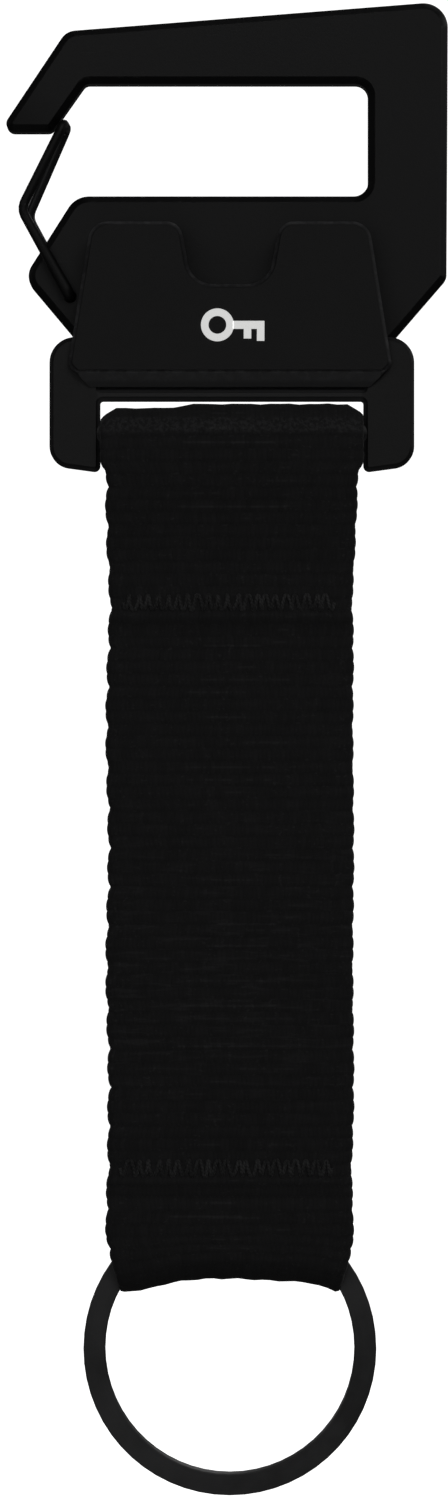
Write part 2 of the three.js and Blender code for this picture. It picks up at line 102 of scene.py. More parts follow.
# the camera stands in front of this point and sees this much height there
VIEW_CENTRE = Vector((-0.6 * MM, 0, -68.1 * MM))
VIEW_HEIGHT = 153.69 * MM
CAMERA_AWAY = 0.6
SENSOR_WIDTH = 36
FLOOR_DROP = 0.06

# the latch: the top of the cover's lip, the frame's bar above the slot, and the slot's sides, which
# bound the painted light on the cover and the frame
LIP_TOP = -29.75 * MM
TOP_BAR_LOW = -33 * MM
TOP_BAR_HALF = 13.3 * MM
SLOT_SIDE = 14.2 * MM

# the gate's ends: how much thicker the wire is up to a distance from its axis, how far off that has
# faded, and how far from the middle plane an end has to lie
EYE_MORE = 0.11 * MM
EYE_NEAR = 2 * MM
EYE_FAR = 8 * MM
EYE_OUT = 2.1 * MM

# the key sign: its middle, then its bow and strokes in units of which its length has 13
SIGN_X = 0.4 * MM
SIGN_HEIGHT_SHARE = 0.372
SIGN_UNITS = 13
BOW_RADIUS = 3.5
BOW_BAND = 1.6
# left, right, bottom and top of the stem, the short tooth and the long tooth, from the bow's centre
SIGN_STROKES = ((3.3, 10, -0.85, 0.85), (5.6, 7.2, -2.9, -0.85), (8.4, 10, -3.4, -0.85))

# how far the strap spreads to each side where it fills the frame's slot
SLOT_LEFT = 13.17 * MM
SLOT_RIGHT = 13.57 * MM
# the strap's edges: a slow swell with its height, length and a peak's place, how far each row's thread
# draws them in, and how much wider the right one is at the bottom and on its way up to the slot
SWELL = 0.11 * MM
SWELL_LENGTH = 24 * MM
SWELL_PEAK = -66 * MM
DRAWN = 0.14 * MM
RIGHT_MORE = 0.12 * MM
RIGHT_FLARE = 0.5 * MM
# how much of the left edge's swell and rises the right edge shows
RIGHT_SWELL_SHARE = -0.4
RIGHT_SCALLOP_SHARE = 0.45
# half the room between the strap's two layers, and how far each row draws them together
PLY_GAP = 0.03 * MM
PINCH = 0.1 * MM
# points along one rib, across the strap, and round half of its edge
RIB_STEPS = 8
STRAP_COLUMNS = 26
EDGE_STEPS = 6
# points along a straight length of the strap, and round half a turn of a fold
RUN_STEPS = 400
FOLD_STEPS = 60
# waves, each with its height and its radians per metre: in the upper fold and in the lower one
CROWN_WAVES = ((0.04 * MM, 1500), (0.03 * MM, 3300))
ARCH_WAVES = ((0.05, 900), (0.05, 2100))
# waves in the ribs: share of a rib, radians per metre across the strap and along it
RIB_WAVES = ((0.042, 420, 190), (0.035, 1100, -260))
# shares of the half width across the fold round the ring, and of its lift there
FOLD_ARCH = (
    (-1, 0),
    (-0.8, 0.12),
    (-0.65, 0.42),
    (-0.4, 0.78),
    (-0.15, 0.98),
    (0, 0.92),
    (0.2, 0.82),
    (0.5, 0.8),
    (0.7, 0.62),
    (0.85, 0.35),
    (0.94, 0.05),
    (1, 0.02),
)
# yarns that lie loose across the strap's front: height, left and right end, in millimetres
LOOSE_YARNS = (
    (-36.9, -4.6, 4.3),
    (-43.4, -5.2, 5.5),
    (-57.5, -2.5, 3),
    (-85.8, -1, 4.5),
    (-88, -2.2, 3.5),
    (-94.1, -4.8, 4.5),
    (-98.2, -5.1, 5.4),
    (-115.4, -6, 1),
)

# stitches: points along a leg and round the thread, the shortest leg's share, how far a turn strays
# in stitches, how far the thread stands out between its turns and how deep it dips at them
LEG_STEPS = 8
THREAD_SIDES = 8
SHORTEST_LEG = 0.65
STRAY = 0.45
THREAD_OUT = 0.06 * MM
THREAD_DIP = 0.3 * MM
ROW_SEEDS = {"upper": 3, "lower": 4}

# the station of a swept bar where the way round its section is measured
GAUGE_STATION = 4


# ------------------------------------------------------------------ sizes and colours


def length(name, description, default):
    """A size in metres."""
    return bpy.props.FloatProperty(
        name=name, description=description, default=default, unit="LENGTH", precision=5
    )


def colour(name, description, default):
    """A colour as linear red, green and blue."""
    return bpy.props.FloatVectorProperty(
        name=name, description=description, default=default, subtype="COLOR", size=3
    )


class OrganiserSizes(bpy.types.PropertyGroup):
    """Sizes of what is made here and isn't in the frame."""

    layer: length("Layer", "Thickness of one layer of webbing", 1.3 * MM)
    rib_pitch: length("Rib pitch", "From one rib of the webbing to the next", 1.28 * MM)
    rib_depth: length("Rib depth", "Depth of the grooves between the ribs", 0.04 * MM)
    yarn_pitch: length("Yarn pitch", "From one warp yarn to the next", 0.46 * MM)
    strap_half: length("Strap half width", "Half the width of the webbing", 12.42 * MM)
    scallop_pitch: length("Scallop pitch", "From one rise of the strap's edges to the next", 4.07 * MM)
    scallop_deep: length("Scallop depth", "How far the strap's left edge rises", 0.36 * MM)
    fold_half: length("Fold half width", "Half the width of the fold round the ring", 11.35 * MM)
    fold_lift: length("Fold lift", "How far the fold rises between its corners", 1.5 * MM)
    thread: length("Thread", "Diameter of the sewing thread", 0.34 * MM)
    stitch_pitch: length("Stitch pitch", "From one stitch of a row to the next", 0.5 * MM)
    row_high: length("Row height", "How far a stitch reaches along the strap", 2.0 * MM)
    row_half: length("Row half width", "Half the length of a row of stitches", 11 * MM)
    soft_edge: length("Soft edge", "Rounding of the moulded edges", 0.16 * MM)
    crisp_edge: length("Crisp edge", "Rounding of the machined edges", 0.06 * MM)
    sign_width: length("Sign width", "Length of the key sign on the latch", 6.2 * MM)
    sign_thick: length("Sign thickness", "How far the key sign stands out", 0.05 * MM)


class OrganiserColours(bpy.types.PropertyGroup):
    """Base colours of the finishes."""

    anodised: colour("Anodised", "The hook plate", (0.0125, 0.0125, 0.0135))
    cover: colour("Cover", "The latch cover", (0.0105, 0.0105, 0.011))
    moulding: colour("Moulding", "The strap frame", (0.0115, 0.0115, 0.012))
    webbing: colour("Webbing", "The strap's yarns", (0.0146, 0.0144, 0.015))
    thread: colour("Thread", "The sewing thread", (0.021, 0.021, 0.0215))
    wire: colour("Wire", "The gate", (0.008, 0.008, 0.0085))
    ring: colour("Ring", "The split ring", (0.038, 0.038, 0.039))
    nickel: colour("Nickel", "The magnets", (0.56, 0.54, 0.5))
    steel: colour("Steel", "The studs and screws", (0.3, 0.3, 0.31))
    sign: colour("Sign", "The key sign on the latch", (0.8, 0.8, 0.79))
    floor: colour("Floor", "The floor", (0.95, 0.95, 0.95))


# ------------------------------------------------------------------ modelling helpers


def only(obj):
    """Selects one object and makes it active."""
    bpy.ops.object.select_all(action="DESELECT")
    obj.select_set(True)
    bpy.context.view_layer.objects.active = obj


def edited(obj, *steps):
    """Runs edit-mode steps on all of an object."""
    only(obj)
    bpy.ops.object.mode_set(mode="EDIT")
    for step in steps:
        bpy.ops.mesh.select_all(action="SELECT")
        step()
    bpy.ops.object.mode_set(mode="OBJECT")


def modified(obj, kind, **settings):
    """Adds a modifier and applies it."""
    only(obj)
    modifier = obj.modifiers.new(kind.title(), kind)
    for name, value in settings.items():
        setattr(modifier, name, value)
    bpy.ops.object.modifier_apply(modifier=modifier.name)


def named(obj, name):
    """Names an object and its mesh."""
    obj.name = name
    obj.data.name = name
    return obj


def placed(obj):
    """Puts an object's place into its mesh."""
    only(obj)
    bpy.ops.object.transform_apply(location=True, rotation=True, scale=True)


def merged():
    """Joins the vertices that lie together."""
    bpy.ops.mesh.remove_doubles(threshold=0.001 * MM)


def outward():
    """Turns the faces outwards."""
    bpy.ops.mesh.normals_make_consistent(inside=False)


def smooth(obj, degrees):
    """Shades an object smooth, apart from edges sharper than an angle."""
    only(obj)
    bpy.ops.object.shade_smooth_by_angle(angle=math.radians(degrees))


def swept(name, section, stations, place, along_mm):
    """A closed bar: a grid rolled up so that place(i, j) gives the point i of the section at station j.

    The map "weave" holds millimetres round the section and along the bar.
    """
    bpy.ops.mesh.primitive_grid_add(x_subdivisions=section, y_subdivisions=stations, size=2)
    obj = named(bpy.context.active_object, name)
    mesh = obj.data
    flat = np.zeros(len(mesh.vertices) * 3)
    mesh.vertices.foreach_get("co", flat)
    flat = flat.reshape(-1, 3)
    i = np.rint((flat[:, 0] + 1) / 2 * section).astype(int)
    j = np.rint((flat[:, 1] + 1) / 2 * stations).astype(int)
    points = place(i, j)
    mesh.vertices.foreach_set("co", points.ravel())
    corner = np.zeros(len(mesh.loops), int)
    mesh.loops.foreach_get("vertex_index", corner)
    outline = place(np.arange(section + 1), np.full(section + 1, GAUGE_STATION))
    steps = np.linalg.norm(np.diff(outline, axis=0), axis=1)
    around = np.cumsum([0, *steps]) / MM
    layer = mesh.uv_layers.active or mesh.uv_layers.new()
    layer.name = "weave"
    weave = np.stack([around[i[corner]], along_mm[j[corner]]], axis=1)
    layer.data.foreach_set("uv", weave.ravel())
    edited(obj, merged, fill_ends, outward)
    return obj


def fill_ends():
    """Closes a bar's two ends."""
    bpy.ops.mesh.select_all(action="DESELECT")
    bpy.ops.mesh.select_non_manifold()
    bpy.ops.mesh.fill_holes(sides=0)


def softened(node, name, edge, sharp=28):
    """A copy of a frame node with merged faces and its sharp edges rounded."""
    source = frame["nodes"][node]
    obj = bpy.data.objects.new(name, source.data.copy())
    obj.data.name = name
    bpy.context.scene.collection.objects.link(obj)

    def clean():
        bpy.ops.mesh.customdata_custom_splitnormals_clear()
        merged()

    def flatten():
        bpy.ops.mesh.dissolve_limited(angle_limit=math.radians(0.3))

    edited(obj, clean, outward, flatten)
    if edge:
        modified(
            obj,
            "BEVEL",
            width=edge,
            segments=2,
            limit_method="ANGLE",
            angle_limit=math.radians(sharp),
            use_clamp_overlap=True,
        )
    smooth(obj, 50)
    modified(obj, "WEIGHTED_NORMAL", weight=100, keep_sharp=True)
    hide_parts(node)
    return obj


def hump(phase):
    """One rounded rise from each whole number to the next, from 0 to 1."""
    return np.abs(np.sin(np.pi * phase)) ** 0.7


def ramp(value, start, end):
    """A smooth rise from 0 at start to 1 at end."""
    share = np.clip((value - start) / (end - start), 0, 1)
    return share * share * (3 - 2 * share)


def near(value, centre, reach):
    """A soft peak of 1 at a centre."""
    return np.exp(-(((value - centre) / reach) ** 2))


def waves(x, terms):
    """A sum of sine waves, each given by its height and its radians per metre."""
    return sum(height * np.sin(x * pace) for height, pace in terms)


# ------------------------------------------------------------------ shader helpers


class Wire:
    """A node's output. In an expression it adds Math nodes."""

    def __init__(self, finish, socket):
        self.finish = finish
        self.socket = socket

    def math(self, operation, first, second=0.0):
        """Adds one Math node."""
        return self.finish.node("ShaderNodeMath", {"operation": operation}, {0: first, 1: second})

    def __add__(self, other):
        return self.math("ADD", self, other)

    def __sub__(self, other):
        return self.math("SUBTRACT", self, other)

    def __rsub__(self, other):
        return self.math("SUBTRACT", other, self)

    def __mul__(self, other):
        return self.math("MULTIPLY", self, other)

    def __pow__(self, other):
        return self.math("POWER", self, other)

    def __abs__(self):
        return self.math("ABSOLUTE", self)

    __radd__ = __add__
    __rmul__ = __mul__

    def floor(self):
        return self.math("FLOOR", self)

    def sine(self):
        return self.math("SINE", self)

    def rise(self, start, end):
        """A smooth rise from 0 to 1 as this goes from start to end."""
        settings = {"interpolation_type": "SMOOTHSTEP"}
        sockets = {"Value": self, "From Min": start, "From Max": end}
        return self.finish.node("ShaderNodeMapRange", settings, sockets)

    def between(self, low, start, end, high):
        """1 from start to end, with a smooth rise up from low and a smooth fall down to high."""
        return self.rise(low, start) * (1 - self.rise(end, high))


class Finish:
    """A material that is being built."""

    def __init__(self, name):
        self.material = bpy.data.materials.new(name)
        self.material.use_nodes = True
        self.tree = self.material.node_tree
        self.tree.nodes.clear()

    def node(self, kind, settings=None, sockets=None, output=0):
        """Adds a node, sets it, then fills its sockets with values or links."""
        node = self.tree.nodes.new(kind)
        for name, value in (settings or {}).items():
            setattr(node, name, value)
        for key, value in (sockets or {}).items():
            if isinstance(value, Wire):
                self.tree.links.new(value.socket, node.inputs[key])
            else:
                node.inputs[key].default_value = value
        return Wire(self, node.outputs[output]) if node.outputs else None

    def place(self):
        """The piece's own coordinates, in metres."""
        return self.node("ShaderNodeTexCoord", output="Object")

    def split(self, vector):
        """A vector's three numbers."""
        parts = self.node("ShaderNodeSeparateXYZ", sockets={0: vector})
        return [Wire(self, socket) for socket in parts.socket.node.outputs]

    def vector(self, x, y, z=0.0):
        """Three numbers as a vector."""
        return self.node("ShaderNodeCombineXYZ", sockets={0: x, 1: y, 2: z})

    def weave(self):
        """Millimetres round a bar's section and along it."""
        uv = self.node("ShaderNodeUVMap", {"uv_map": "weave"})
        return self.split(uv)[:2]

    def noise(self, vector, scale, detail=2.0, rough=0.5):
        """Cloudy noise from 0 to 1."""
        sockets = {"Vector": vector, "Scale": scale, "Detail": detail, "Roughness": rough}
        return self.node("ShaderNodeTexNoise", {}, sockets)

    def chance(self, vector):
        """A number from 0 to 1 for each whole-number place."""
        return self.node("ShaderNodeTexWhiteNoise", {"noise_dimensions": "2D"}, {"Vector": vector})

    def stretched(self, vector, scale):
        """Coordinates stretched along their axes."""
        return self.node("ShaderNodeMapping", {}, {"Vector": vector, "Scale": scale})

    def mixed(self, factor, first, second):
        """A colour between two."""
        sockets = {0: factor, 6: rgba(first), 7: rgba(second)}
        return self.node("ShaderNodeMix", {"data_type": "RGBA"}, sockets, output=2)

    def shaded(self, base, factor):
        """A colour times a number."""
        settings = {"data_type": "RGBA", "blend_type": "MULTIPLY"}
        grey = self.vector(factor, factor, factor)
        return self.node("ShaderNodeMix", settings, {0: 1.0, 6: rgba(base), 7: grey}, output=2)

    def bump(self, height, distance, strength):
        """A normal tipped by a height."""
        sockets = {"Height": height, "Distance": distance, "Strength": strength}
        return self.node("ShaderNodeBump", {}, sockets)

    def done(self, **sockets):
        """Ends the material in a Principled shader."""
        shader = self.node(
            "ShaderNodeBsdfPrincipled",
            sockets={key.replace("_", " "): value for key, value in sockets.items()},
        )
        self.node("ShaderNodeOutputMaterial", sockets={"Surface": shader})
        return self.material


def rgba(value):
    """A colour with its alpha, or a link left as it is."""
    return value if isinstance(value, Wire) else (*value, 1.0)


def dressed(obj, material):
    """Gives all of an object one material."""
    if obj.material_slots:
        for slot in obj.material_slots:
            slot.material = material
    else:
        obj.data.materials.append(material)


# ------------------------------------------------------------------ finishes


def anodised_finish(colours):
    """Bead-blasted black aluminium, its chamfers cut smooth and lightly rubbed along their edges."""
    f = Finish("anodised_plate")
    at = f.place()
    x, y, z = f.split(at)
    depth = abs(y)
    low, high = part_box("hook_plate")
    half = (high.y - low.y) / 2
    # face is 1 on the flat faces; the chamfers get a darker colour, partly for their smoother cut and
    # partly as painted shade
    face = depth.rise(half - 0.08 * MM, half - 0.015 * MM)
    cloud = f.noise(at, 70, 4)
    grain = f.noise(at, 5200, 2)
    speck = f.noise(at, 900, 3, 0.7)
    rim = depth.rise(half - 0.16 * MM, half - 0.05 * MM) * (1 - face)
    rubbed = rim * speck.rise(0.56, 0.72)
    scratch = f.noise(f.stretched(at, (260, 900, 3600)), 1, 3).rise(0.69, 0.74) * face
    # painted shade: the plate's colour darkens toward the end of the beak
    beak_tip_shade = (z * -0.6 - x * 0.8).rise(14 * MM, 21 * MM) * z.rise(-9 * MM, -7 * MM)
    tone = (0.3 + face * 0.14 + cloud * 0.2) * (1 - beak_tip_shade * 0.75)
    base = f.mixed(rubbed * 0.5, f.shaded(colours.anodised, tone), (0.09, 0.09, 0.092))
    roughness = 0.3 + face * 0.16 + cloud * 0.1 - scratch * 0.1 + beak_tip_shade * 0.12
    height = grain * face + scratch * -0.5
    return f.done(
        Base_Color=base,
        Roughness=roughness,
        Normal=f.bump(height, 0.012 * MM, 0.7),
        Specular_IOR_Level=0.37,
    )


def cover_finish(colours):
    """Matt black moulding with a fine grain, a mottled painted highlight round its front edge and
    painted light on its lip.
    """
    f = Finish("cover_shell")
    at = f.place()
    y, z = f.split(at)[1:]
    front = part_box("latch_cover")[0].y
    # painted highlight: a mottled lighter band on the edge just behind the front face
    rim = y.between(front + 0.02 * MM, front + 0.2 * MM, front + 0.5 * MM, front + 0.8 * MM)
    cloud = f.noise(at, 150, 4, 0.6)
    mottle = f.noise(at, 1100, 3, 0.65).rise(0.42, 0.66)
    grain = f.noise(at, 6500, 3, 0.6)
    # painted light: the lip below LIP_TOP gets a lighter colour, as if lit from below, and the edge
    # highlight fades on it
    lip = 1 - z.rise(LIP_TOP - 0.15 * MM, LIP_TOP)
    tone = 0.5 + cloud * 0.4 + rim * (1.8 + mottle * 2.8) * (1 - lip * 0.7) + lip * 1.1
    return f.done(
        Base_Color=f.shaded(colours.cover, tone),
        Roughness=0.56 + cloud * 0.14 - rim * 0.08,
        Normal=f.bump(grain + mottle * rim * 0.6, 0.018 * MM, 0.8),
        Specular_IOR_Level=0.4,
    )


def moulding_finish(colours):
    """Satin black glass-filled nylon, with painted light on its rims, round the slot and on the bar
    above it.
    """
    f = Finish("frame_moulding")
    at = f.place()
    cloud = f.noise(at, 220, 5, 0.6)
    grain = f.noise(at, 3400, 3, 0.6)
    scuff = f.noise(f.stretched(at, (500, 500, 2400)), 1, 4, 0.7).rise(0.6, 0.72)
    x, y, z = f.split(at)
    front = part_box("strap_frame")[0].y
    # painted light: the rims and bevels behind the front face get a lighter colour than it, more round
    # the slot, and the bar above the slot more still
    rim = y.rise(front + 0.06 * MM, front + 0.3 * MM)
    aside = 1 - abs(x).rise(TOP_BAR_HALF, TOP_BAR_HALF + 0.3 * MM)
    top_bar_light = aside * z.rise(TOP_BAR_LOW, TOP_BAR_LOW + 0.3 * MM)
    slot_side_light = 1 - abs(x).rise(SLOT_SIDE, SLOT_SIDE + 0.2 * MM)
    light = 0.25 + rim * (1.1 + slot_side_light * 1.2) + top_bar_light * 1.2
    return f.done(
        Base_Color=f.shaded(colours.moulding, light + cloud * 0.35 + scuff * 0.3),
        Roughness=0.42 + cloud * 0.18 + scuff * 0.1,
        Normal=f.bump(grain + cloud * 2.0, 0.015 * MM, 0.8),
        Specular_IOR_Level=0.45,
    )


def wire_finish(colours):
    """Black coated spring wire, drawn smooth."""
    f = Finish("gate_wire")
    at = f.place()
    cloud = f.noise(at, 400, 3)
    speck = f.noise(at, 2600, 2, 0.6)
    rubbed = speck.rise(0.66, 0.76) * cloud.rise(0.5, 0.7)
    # painted light: the strand at the back gets a lighter colour and the front strand a darker one
    back = f.split(at)[1].rise(-1.5 * MM, 2 * MM)
    tone = (0.45 + cloud * 0.4) * (0.35 + back * 3.6)
    base = f.mixed(rubbed * 0.3, f.shaded(colours.wire, tone), (0.08, 0.08, 0.08))
    return f.done(
        Base_Color=base,
        Roughness=0.5 - back * 0.26 + cloud * 0.14,
        Normal=f.bump(speck, 0.008 * MM, 0.6),
        Specular_IOR_Level=0.36,
    )


def webbing_marks(f, across, along, row, crest, own):
    """Lighter marks on the webbing, partly painted light, and the share of them that are yarns drawn
    smooth with a painted sheen.
    """
    x, y, z = f.split(f.place())
    line = f.noise(f.vector(across * 0.13, row * 7.3), 1, 0)
    central = across.between(6.5, 8, 17.5, 19)
    broken = f.noise(f.vector(across * 1.1, row * 3.1), 1, 2, 0.7).rise(0.4, 0.52)
    # yarns drawn smooth, lightened as a painted sheen on the rib crests across the strap's middle
    pulled_yarn_sheen = line.rise(0.57, 0.61) * crest.rise(0.96, 0.99) * central * broken
    front = 1 - y.rise(BAR.y - 0.2 * MM, BAR.y)
    loose = sum(
        (1 - abs(z - height * MM).rise(0.05 * MM, 0.15 * MM))
        * x.between((left - 0.4) * MM, left * MM, right * MM, (right + 0.4) * MM)
        for height, left, right in LOOSE_YARNS
    )
    # wear and painted light on the crest of the fold over the bar: a lighter speckled band
    bend = z.between(BAR.z - 0.2 * MM, BAR.z + 0.3 * MM, BAR.z + 1.3 * MM, BAR.z + 1.8 * MM)
    crest_wear_and_light = f.noise(f.vector(across * 2.6, along * 3), 1, 3, 0.7).rise(0.42, 0.6) * bend
    zone = f.noise(f.vector(across * 0.5, along * 0.3), 1, 2, 0.6).rise(0.38, 0.6)
    fleck = f.noise(f.vector(across * 2.1, along * 2.9), 1, 1, 0.6).rise(0.6, 0.7) * zone
    streak = f.noise(f.vector(across * 0.24, along * 1.9), 1, 2, 0.6).rise(0.52, 0.66)
    above = 1 - z.rise(LOWER_BEND + 4 * MM, UPPER_BEND + 2 * MM)
    lower = 0.35 + above * z.rise(LOWER_BEND - 14 * MM, LOWER_BEND)
    marks = pulled_yarn_sheen * 0.3 + loose * front * (0.35 + own * 0.7)
    return marks + crest_wear_and_light * 1.3 + fleck * 0.75 + streak * lower * 0.42, pulled_yarn_sheen


def webbing_shade(f):
    """The share of light left below each row, where the thread presses, and on the lower fold."""
    z = f.split(f.place())[2]
    pressed = sum(
        z.between(row_z - 3.2 * MM, row_z - 2.6 * MM, row_z - 1.7 * MM, row_z - 1.2 * MM)
        for row_z in ROWS.values()
    )
    fold = 1 - z.rise(STRAP_LOW.z + 2.2 * MM, STRAP_LOW.z + 4.6 * MM)
    return (1 - pressed * 0.25) * (1 - fold * 0.2)


def webbing_finish(sizes, colours):
    """Ribbed nylon: warp yarns side by side over each weft, half a yarn over from rib to rib."""
    f = Finish("webbing")
    at = f.place()
    across, along = f.weave()
    rib = along * (MM / sizes.rib_pitch)
    row = rib.floor()
    odd = row * 0.5 - (row * 0.5).floor()
    yarn = across * (MM / sizes.yarn_pitch) + odd
    strand = abs((yarn * math.pi).sine()) ** 0.6
    crest = abs((rib * math.pi).sine()) ** 0.8
    fibre = f.noise(f.vector(across * 9, along * 1.6), 1, 3, 0.7)
    twist = abs(((across * 3.2 + along * 4.4) * math.pi).sine())
    own = f.chance(f.vector(yarn.floor(), row))
    cloud = f.noise(at, 90, 4, 0.6)
    patch = f.noise(f.vector(across * 1.4, along * 0.7), 1, 2, 0.6)
    # painted highlight and shade: each yarn is lighter along its middle than at its sides, and each rib
    # a little lighter on its crest
    weave = (0.84 + strand * 0.16 + crest * 0.04) * (0.56 + own * 0.25 + cloud * 0.3 + patch * 0.4)
    marks, pulled_yarn_sheen = webbing_marks(f, across, along, row, crest, own)
    height = strand * 0.5 + crest * 0.08 + twist * 0.12 + fibre * 0.3
    return f.done(
        Base_Color=f.shaded(colours.webbing, (weave * 0.94 + marks) * webbing_shade(f)),
        Roughness=0.86 - crest * 0.08 - pulled_yarn_sheen * 0.15 + fibre * 0.08,
        Normal=f.bump(height, 0.06 * MM, 0.9),
        Specular_IOR_Level=0.3,
        Sheen_Weight=0.12,
        Sheen_Roughness=0.45,
    )


def thread_finish(sizes, colours):
    """Bonded black thread, laid in plies."""
    f = Finish("thread")
    around, along = f.weave()
    girth = sizes.thread / MM * math.pi
    ply = abs(((around * (2 / girth) + along * 2.6) * math.pi).sine())
    fuzz = f.noise(f.vector(around * 8, along * 3), 1, 3, 0.7)
    rubbed = f.noise(f.place(), 620, 2, 0.6).rise(0.4, 0.62)
    return f.done(
        Base_Color=f.shaded(colours.thread, (0.4 + ply * 0.6 + fuzz * 0.3) * (0.55 + rubbed * 0.9)),
        Roughness=0.62 - ply * 0.12 + fuzz * 0.1,
        Normal=f.bump(ply + fuzz * 0.3, 0.05 * MM, 0.9),
        Specular_IOR_Level=0.4,
        Sheen_Weight=0.15,
    )


def ring_finish(colours):
    """Black oxide on spring steel, with fine marks that run round the ring."""
    f = Finish("ring_black")
    at = f.place()
    x, y, z = f.split(at)
    z = z - RING_CENTRE.z
    radius = (x * x + z * z) ** 0.5
    turned = f.noise(f.vector(radius * 9000, (x + z) * 130, y * 4000), 1, 3, 0.6)
    cloud = f.noise(at, 120, 4, 0.6)
    knock = f.noise(at, 1500, 3, 0.7).rise(0.66, 0.74)
    tone = 0.35 + turned * 0.35 + cloud.rise(0.3, 0.7) * 0.7
    base = f.mixed(knock * 0.5, f.shaded(colours.ring, tone), (0.07, 0.07, 0.071))
    return f.done(
        Base_Color=base,
        Roughness=0.36 + turned * 0.12 + cloud * 0.1 - knock * 0.06,
        Normal=f.bump(turned, 0.01 * MM, 0.6),
        Specular_IOR_Level=0.5,
    )


def metal_finish(name, base, roughness, brush):
    """Bright metal with fine marks from its making."""
    f = Finish(name)
    at = f.place()
    marks = f.noise(f.stretched(at, (brush, 500, brush)), 1, 3, 0.6)
    stain = f.noise(at, 700, 3, 0.6)
    return f.done(
        Base_Color=f.shaded(base, 0.75 + stain * 0.4),
        Roughness=roughness + marks * 0.18,
        Normal=f.bump(marks, 0.01 * MM, 0.6),
        Metallic=1.0,
    )


def sign_finish(colours):
    """White pad-printed ink, thin at its edges."""
    f = Finish("sign_ink")
    at = f.place()
    thin = f.noise(at, 2600, 3, 0.7).rise(0.62, 0.8)
    base = f.mixed(thin * 0.5, f.shaded(colours.sign, 1.0 - thin * 0.1), (0.35, 0.35, 0.35))
    return f.done(
        Base_Color=base,
        Roughness=0.5 + thin * 0.2,
        Normal=f.bump(thin, 0.01 * MM, 0.5),
        # painted light: the printed ink glows a little, though it is no lamp
        Emission_Color=rgba(colours.sign),
        Emission_Strength=0.6,
    )


def floor_finish(colours):
    """A pale, evenly lit surface."""
    f = Finish("floor")
    return f.done(
        Base_Color=rgba(colours.floor),
        Roughness=0.9,
        Emission_Color=rgba(colours.floor),
        Emission_Strength=1.1,
    )


# ------------------------------------------------------------------ stage


def softbox(name, place, aim, size, power):
    """A square area light that looks at a point."""
    bpy.ops.object.light_add(type="AREA", location=place)
    light = bpy.context.active_object
    light.name = name
    light.data.shape = "SQUARE"
    light.data.size = size
    light.data.energy = power
    light.rotation_euler = (Vector(aim) - Vector(place)).to_track_quat("-Z", "Y").to_euler()


def surroundings(seen, lit):
    """A white world, with one strength as the camera sees it and another as a light."""
    world = bpy.data.worlds.new("surroundings")
    world.use_nodes = True
    nodes, links = world.node_tree.nodes, world.node_tree.links
    nodes.clear()
    path = nodes.new("ShaderNodeLightPath")
    either = nodes.new("ShaderNodeMixShader")
    out = nodes.new("ShaderNodeOutputWorld")
    links.new(path.outputs["Is Camera Ray"], either.inputs["Fac"])
    for socket, strength in ((1, lit), (2, seen)):
        white = nodes.new("ShaderNodeBackground")
        white.inputs["Color"].default_value = (1, 1, 1, 1)
        white.inputs["Strength"].default_value = strength
        links.new(white.outputs[0], either.inputs[socket])
    links.new(either.outputs[0], out.inputs["Surface"])
    return world


def build_stage(colours):
    """The camera, the soft lights, the pale surroundings and the floor."""
    scene = bpy.context.scene
    scene.view_settings.view_transform = "Standard"
    place = VIEW_CENTRE - Vector((0, CAMERA_AWAY, 0))
    bpy.ops.object.camera_add(location=place, rotation=(math.pi / 2, 0, 0))
    camera = bpy.context.active_object
    camera.name = "camera"
    camera.data.sensor_width = SENSOR_WIDTH
    camera.data.lens = SENSOR_WIDTH * CAMERA_AWAY / VIEW_HEIGHT
    scene.camera = camera

    middle = (CAD_LOW + CAD_HIGH) / 2
    softbox("front_softbox", (0.3, -0.9, 0.7), middle, 0.7, 2.3)
    softbox("front_fill", (-0.4, -1.0, 0.1), middle, 0.8, 0.7)
    softbox("low_fill", (0.0, -0.75, -0.9), middle, 0.5, 0.6)
    softbox("back_softbox", (0.3, 0.9, 0.75), middle, 0.8, 2.6)
    softbox("left_softbox", (-0.75, 0.75, 0.2), middle, 0.5, 0.7)
    softbox("right_softbox", (0.9, 0.35, 0.3), middle, 0.5, 0.6)

    scene.world = surroundings(seen=1.15, lit=0.03)

    bpy.ops.mesh.primitive_plane_add(size=6, location=(0, 0, CAD_LOW.z - FLOOR_DROP))
    floor = named(bpy.context.active_object, "floor")
    placed(floor)
    dressed(floor, floor_finish(colours))
    for way in ("diffuse", "glossy", "transmission", "shadow"):
        setattr(floor, f"visible_{way}", False)


# ------------------------------------------------------------------ hook and latch


def build_hook(sizes, colours):
    """The hook plate with softly broken edges, and the studs and magnets in it."""
    plate = softened("hook_plate", "snap_hook", sizes.crisp_edge)
    dressed(plate, anodised_finish(colours))
    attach(plate, "hook")
    steel = metal_finish("stud_steel", colours.steel, 0.3, 4200)
    nickel = metal_finish("magnet", colours.nickel, 0.2, 2600)
    for node, obj in frame["nodes"].items():
        if "stud" in node or "screw" in node:
            dressed(obj, steel)
        if "magnet" in node:
            dressed(obj, nickel)


def thicken_eyes(gate, pivot):
    """Makes the wire a little thicker toward its two ends, where it turns into the plate."""
    mesh = gate.data
    place = np.zeros(len(mesh.vertices) * 3)
    outwards = np.zeros(len(mesh.vertices) * 3)
    mesh.vertices.foreach_get("co", place)
    mesh.vertices.foreach_get("normal", outwards)
    place = place.reshape(-1, 3)
    along = np.hypot(place[:, 0] - pivot.x, place[:, 2] - pivot.z)
    more = EYE_MORE * (1 - ramp(along, EYE_NEAR, EYE_FAR)) * (np.abs(place[:, 1]) > EYE_OUT)
    place += outwards.reshape(-1, 3) * more[:, None]
    mesh.vertices.foreach_set("co", place.ravel())


